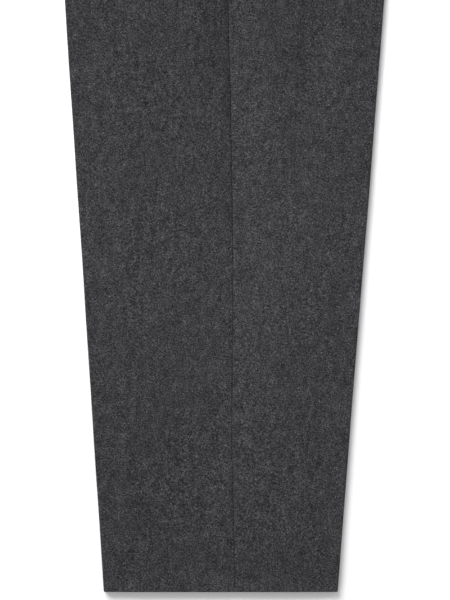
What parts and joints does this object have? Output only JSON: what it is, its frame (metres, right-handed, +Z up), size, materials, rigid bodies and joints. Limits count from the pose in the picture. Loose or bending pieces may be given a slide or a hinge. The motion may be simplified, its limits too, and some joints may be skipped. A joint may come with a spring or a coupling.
{
  "type": "pleated dress trousers",
  "caption": "Charcoal wool flannel dress trousers with forward pleats, slant pockets and belt loops, folded on their pressed creases and laid flat.",
  "frame": {"origin": "middle of the underside of the whole garment's bounding box, on the surface it lies on", "axes": "+Y from the hems to the waist, +X to the front creases and the fly, +Z up through the folded layers"},
  "size_m": [0.5138, 1.0942, 0.0126],
  "materials": {
    "flannel": "matt milled wool flannel, charcoal melange",
    "zip_tape": "matt woven tape"
  },
  "bodies": {
    "root": {"right_front": "flannel", "right_back": "flannel", "left_front": "flannel", "left_back": "flannel", "right_pocket_facing": "flannel", "left_pocket_facing": "flannel", "right_waistband": "flannel", "left_waistband": "flannel", "right_loop_front": "flannel", "right_loop_side": "flannel", "right_loop_back": "flannel", "left_loop_front": "flannel", "left_loop_side": "flannel", "left_loop_back": "flannel", "seat_loop": "flannel", "fly_shield": "flannel", "fly_zip": "zip_tape"}
  },
  "joints": []
}
